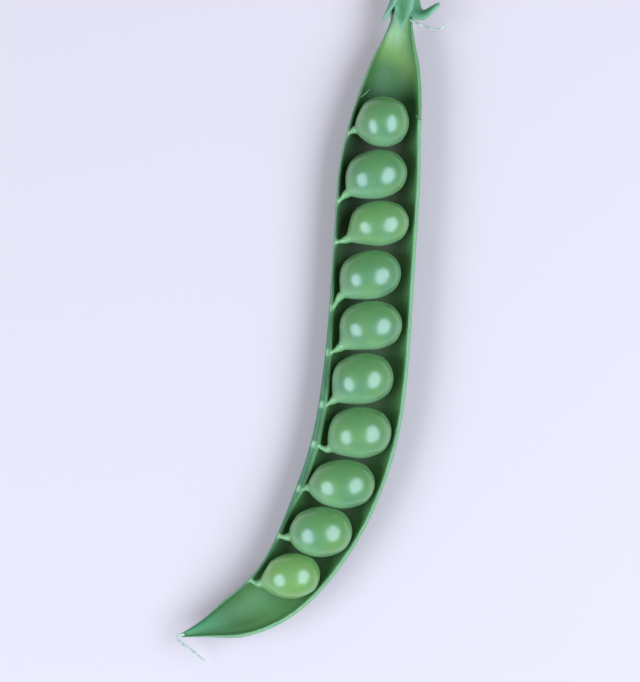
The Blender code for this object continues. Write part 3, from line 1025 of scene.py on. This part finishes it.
# How strongly painted shade darkens the lining's floor among the peas
SHADE_AMONG_THE_PEAS = (
    (0.120, (0.0, 0.0, 0.0, 1.0)),
    (0.170, (0.6, 0.6, 0.6, 1.0)),
    (0.820, (0.5, 0.5, 0.5, 1.0)),
    (0.870, (0.0, 0.0, 0.0, 1.0)),
)
# Colours of the seam's pale crest, partly its own colour and partly a painted highlight
SEAM_CREST_AND_HIGHLIGHT = (
    (0.140, seen(84, 130, 80)),
    (0.180, seen(112, 158, 116)),
    (0.360, seen(104, 150, 112)),
    (0.460, seen(68, 114, 80)),
    (0.760, seen(68, 114, 80)),
    (0.820, seen(98, 144, 100)),
    (1.000, seen(126, 170, 124)),
)


def pod_finish():
    finish, tree, shader = new_finish("waxy pod", Coat_Roughness=0.2)
    along, across, below = number(tree, "along"), number(tree, "across"), number(tree, "below")
    lined = number(tree, "lining")
    flat = stretched(tree, node(tree, "UVMap", {}).outputs["UV"], UV_MM)
    cloud = noise(tree, flat, 0.16, 4.0)
    fine = noise(tree, flat, 1.1, 4.0, 0.6)
    seam = between(tree, across, 0.2, -0.2)

    skin = blend(tree, between(tree, cloud, 0.35, 0.65), seen(42, 106, 56), seen(66, 128, 58))
    skin = blend(tree, between(tree, below, 0.30, 0.0, 0.0, 0.7), skin, seen(106, 154, 102))
    skin = blend(tree, between(tree, fine, 0.62, 0.75, 0.0, 0.35), skin, seen(120, 165, 112))

    lining = ramp(tree, along, LINING_COLOURS_AND_SHADE)
    outer = between(tree, across, -0.2, 0.9)
    near_neck = between(tree, along, 0.11, 0.05, 0.0, 0.75)
    lining = blend(tree, product(tree, outer, near_neck), lining, seen(122, 150, 70))
    # Painted light up the outer wall
    wall = product(tree, between(tree, across, 0.45, 0.9), between(tree, along, 0.11, 0.16, 0.0, 0.8))
    lining = blend(tree, wall, lining, seen(116, 164, 98))
    # Painted shade: a dull brownish green deep on the floor among the peas
    painted_floor_shade = product(tree, between(tree, below, 0.35, 0.8), ramp(tree, along, SHADE_AMONG_THE_PEAS))
    lining = blend(tree, painted_floor_shade, lining, seen(86, 76, 58))
    # Painted light along the top of the lining, weaker on the seam's side
    near_rim = between(tree, below, 0.35, 0.0, 0.0, 0.75)
    painted_rim_light = product(tree, near_rim, between(tree, across, -0.95, 0.0, 0.25, 1.0))
    lining = blend(tree, painted_rim_light, lining, seen(98, 148, 88))
    lining = blend(tree, between(tree, cloud, 0.3, 0.7, 0.0, 0.35), lining, seen(62, 112, 64))

    edge = number(tree, "rim")
    # The seam: a dark band of painted shade under a pale crest that is partly a painted highlight
    crest = ramp(tree, along, SEAM_CREST_AND_HIGHLIGHT)
    seam_shade_band = blend(tree, between(tree, edge, 0.65, 0.95), seen(22, 60, 32), crest)
    rim = blend(tree, seam, seen(122, 168, 116), seam_shade_band)
    rim = blend(tree, between(tree, along, 0.138, 0.130), rim, seen(98, 146, 86))
    rim = blend(tree, between(tree, number(tree, "root"), 0.4, 0.95), rim, seen(128, 170, 122))

    colour = blend(tree, lined, skin, lining)
    colour = blend(tree, edge, colour, rim)
    tree.links.new(colour, shader.inputs["Base Color"])
    dull = node(tree, "Math", {0: lined, 1: edge}, operation="MAXIMUM").outputs[0]
    tree.links.new(between(tree, dull, 0.0, 1.0, 0.34, 0.62), shader.inputs["Roughness"])
    tree.links.new(between(tree, dull, 0.0, 1.0, 0.3, 0.0), shader.inputs["Coat Weight"])

    wrinkles = noise(tree, stretched(tree, flat, (0.55, 1.0, 1.0)), 0.9, 4.0, 0.62)
    fibres = noise(tree, stretched(tree, flat, (0.5, 4.0, 1.0), math.radians(35)), 0.8, 2.0)
    rough_skin = product(tree, wrinkles, between(tree, lined, 0.0, 1.0, 1.0, 0.0))
    first = relief(tree, shader, rough_skin, 0.0005, 0.9)
    relief(tree, shader, fibres, 0.0001, 0.6, first)
    return finish


waxy_pod = pod_finish()
print("pod finish:", len(waxy_pod.node_tree.nodes), "nodes")

# %% [markdown]
# ## Finish of the peas
#
# Fresh peas let light in a little way, which softens their shading, so the shader scatters
# light below the surface over about a millimetre. Over that lies a smooth skin with a
# slightly waxy shine, which stops at the cord. The green is mottled between bluish and
# yellowish. It carries painted shade on the side towards the neck, painted light on the side
# towards the tip and a painted pale sheen down the flanks, and it fades to a pale cord.

# %% The peas' finish
def pea_finish():
    finish, tree, shader = new_finish(
        "fresh pea",
        Roughness=0.34,
        Coat_Roughness=0.21,
        Subsurface_Weight=0.35,
        Subsurface_Radius=(0.6, 1.0, 0.35),
        Subsurface_Scale=0.0012,
    )
    where = place_on(tree)
    mottle = between(tree, noise(tree, where, 260.0, 3.0), 0.35, 0.65)
    green = blend(tree, mottle, seen(76, 127, 90), seen(94, 138, 74))
    tipward, cord = number(tree, "tipward"), number(tree, "cord")
    # Painted shade on the side towards the neck, then painted light on the side towards the tip
    green = blend(tree, between(tree, tipward, -0.9, 0.7), seen(68, 124, 62), green)
    green = blend(tree, between(tree, tipward, 0.45, 1.0, 0.0, 0.9), green, seen(128, 171, 124))
    yellower = between(tree, number(tree, "yellow"), 0.0, 1.0, 0.0, 0.6)
    green = blend(tree, yellower, green, seen(116, 158, 66))
    # Painted pale sheen down the flanks, where the skin turns away from above
    painted_flank_sheen = between(tree, number(tree, "side"), 0.5, 0.95, 0.0, 0.75)
    green = blend(tree, painted_flank_sheen, green, seen(150, 190, 138))
    colour = blend(tree, cord, green, seen(112, 156, 100))
    tree.links.new(colour, shader.inputs["Base Color"])
    tree.links.new(between(tree, cord, 0.0, 1.0, 1.0, 0.2), shader.inputs["Coat Weight"])
    relief(tree, shader, noise(tree, where, 2200.0, 2.0), 0.00003, 0.25)
    return finish


fresh_pea = pea_finish()
print("pea finish:", len(fresh_pea.node_tree.nodes), "nodes")

# %% [markdown]
# ## Finishes of the calyx, stalk and threads
#
# The sepals are leafy: dull bluish green along the middle rib, paler at the edges, with fine
# veins. The stalk is a pale satin green with ribs along it, and the threads are papery.

# %% The leafy and dry finishes
def leaf_finish():
    finish, tree, shader = new_finish("leafy calyx", Roughness=0.5, Specular_IOR_Level=0.4)
    where = place_on(tree)
    blade, edge = number(tree, "blade"), number(tree, "edge")
    on_blade = node(tree, "CombineXYZ", {"X": edge, "Y": blade}).outputs["Vector"]
    veins = noise(tree, stretched(tree, on_blade, (7.0, 1.2, 1.0)), 1.0, 2.0)
    blotches = noise(tree, where, 700.0, 3.0)
    green = blend(tree, between(tree, edge, 0.25, 1.0), seen(60, 118, 76), seen(114, 164, 128))
    green = blend(tree, between(tree, blade, 0.45, 0.0), green, seen(98, 150, 112))
    green = blend(tree, between(tree, veins, 0.4, 0.7, 0.0, 0.3), green, seen(134, 178, 132))
    green = blend(tree, between(tree, blotches, 0.4, 0.7, 0.0, 0.45), green, seen(72, 128, 70))
    tree.links.new(green, shader.inputs["Base Color"])
    first = relief(tree, shader, veins, 0.00005, 0.5)
    relief(tree, shader, noise(tree, where, 1800.0, 3.0), 0.00005, 0.5, first)
    return finish


def stalk_finish():
    finish, tree, shader = new_finish("pale stalk", Roughness=0.45, Specular_IOR_Level=0.45)
    where = place_on(tree)
    ribs = between(tree, number(tree, "rib"), -1.0, 1.0)
    blotches = noise(tree, where, 420.0, 3.0)
    green = blend(tree, ribs, seen(112, 158, 92), seen(142, 182, 118))
    green = blend(tree, between(tree, blotches, 0.45, 0.7, 0.0, 0.4), green, seen(104, 140, 74))
    tree.links.new(green, shader.inputs["Base Color"])
    first = relief(tree, shader, ribs, 0.00008, 0.8)
    relief(tree, shader, noise(tree, where, 2200.0, 3.0), 0.00004, 0.4, first)
    return finish


def thread_finish():
    finish, tree, shader = new_finish("dry thread", Roughness=0.7, Specular_IOR_Level=0.3)
    dry = noise(tree, place_on(tree), 1400.0, 3.0)
    paper = blend(tree, between(tree, dry, 0.35, 0.65), seen(190, 198, 184), seen(150, 164, 138))
    tree.links.new(paper, shader.inputs["Base Color"])
    relief(tree, shader, dry, 0.0001, 0.6)
    return finish


leafy_calyx, pale_stalk, dry_thread = leaf_finish(), stalk_finish(), thread_finish()
print("three more finishes")

# %% [markdown]
# ## Put everything in its place
#
# Each piece is tied to the model: it rides on the model's one body, stands for its node,
# and carries its finish.

# %% Tie pieces to the model
def settle(piece, node_name, finish):
    piece.data.materials.clear()
    piece.data.materials.append(finish)
    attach(piece, "root")
    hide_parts(node_name)


settle(valve, "pod_valve", waxy_pod)
for pea_number, pea in enumerate(peas, 1):
    settle(pea, f"pea_{pea_number:02d}", fresh_pea)
settle(calyx, "calyx", leafy_calyx)
settle(stalk, "stalk", pale_stalk)
settle(style, "dried_style", dry_thread)
settle(stamen, "dried_stamen", dry_thread)
print("pieces:", 5 + len(peas))

# %% [markdown]
# ## Table, light and camera
#
# The pod lies on a plain pale table and is seen from straight above, turned so that it runs
# from the top edge of the picture down to the left. Two soft boxes, one at either side, give
# every pea its two soft reflections, and a dim sky fills the shadows. The finishes were
# chosen as colours on a screen, so the view transform is Standard, which doesn't bend them.
# The camera hangs 45 centimetres over the rim with a long lens, so the pod shows hardly any
# perspective.

# %% Table
TABLE_SIZE = 3.0
TABLE_GAP = 0.00005
TABLE_COLOUR = seen(206, 190, 186)


def lay_table():
    bpy.ops.mesh.primitive_plane_add(size=TABLE_SIZE, location=(0, 0, -TABLE_GAP))
    table = bpy.context.object
    table.name = "table"
    finish, *_ = new_finish(
        "pale table", Base_Color=TABLE_COLOUR, Roughness=0.85, Specular_IOR_Level=0.2
    )
    table.data.materials.append(finish)


lay_table()
print("table laid")

# %% Light
PICTURE_TURN = math.radians(19.624)
RIGHT = Vector((math.cos(PICTURE_TURN), math.sin(PICTURE_TURN), 0))
UP = Vector((-math.sin(PICTURE_TURN), math.cos(PICTURE_TURN), 0))
SUBJECT = Vector((0, 0, RIM_HEIGHT))
SKY_COLOUR = (0.86, 0.90, 1.0)
SKY_STRENGTH = 0.44
# One row for each soft box: its direction to the picture's right, up and towards the
# camera, its distance, its width and height, its power and its colour
SOFT_BOXES = (
    ("left box", (-0.67, -0.33, 0.66), 0.55, (0.32, 0.60), 3.1, (0.62, 0.77, 1.0)),
    ("right box", (0.61, -0.15, 0.78), 0.55, (0.40, 0.74), 4.7, (0.62, 0.77, 1.0)),
)


def hang_box(name, direction, distance, size, power, colour):
    """Soft box that faces the pod."""
    lamp = bpy.data.lights.new(name, "AREA")
    lamp.shape = "ELLIPSE"
    lamp.size, lamp.size_y = size
    lamp.energy = power
    lamp.color = colour
    right, up, near = direction
    way = (RIGHT * right + UP * up + Vector((0, 0, near))).normalized()
    level = (UP - way * UP.dot(way)).normalized()
    axes = Matrix((level.cross(way), level, way)).transposed()
    box = bpy.data.objects.new(name, lamp)
    box.matrix_world = Matrix.Translation(SUBJECT + way * distance) @ axes.to_4x4()
    bpy.context.scene.collection.objects.link(box)


def light_sky():
    sky = bpy.data.worlds.new("dim sky")
    sky.use_nodes = True
    background = sky.node_tree.nodes["Background"]
    background.inputs["Color"].default_value = (*SKY_COLOUR, 1.0)
    background.inputs["Strength"].default_value = SKY_STRENGTH
    bpy.context.scene.world = sky


for row in SOFT_BOXES:
    hang_box(*row)
light_sky()
bpy.context.scene.view_settings.view_transform = "Standard"
print("soft boxes:", len(SOFT_BOXES))

# %% Camera
CAMERA_HEIGHT = 0.45
PICTURE_MIDDLE = Vector((-0.00218, -0.0092, 0))
PICTURE_HEIGHT = 0.1100
SENSOR = 36.0


def hang_camera():
    """Camera over the pod that looks straight down and is turned as the picture is."""
    camera = bpy.data.objects.new("camera", bpy.data.cameras.new("camera"))
    camera.data.sensor_width = SENSOR
    camera.data.lens = SENSOR * CAMERA_HEIGHT / PICTURE_HEIGHT
    camera.data.clip_start = 0.01
    camera.location = PICTURE_MIDDLE + Vector((0, 0, RIM_HEIGHT + CAMERA_HEIGHT))
    camera.rotation_euler = (0, 0, PICTURE_TURN)
    bpy.context.scene.collection.objects.link(camera)
    bpy.context.scene.camera = camera
    return camera


camera = hang_camera()
print("lens:", round(camera.data.lens), "mm")
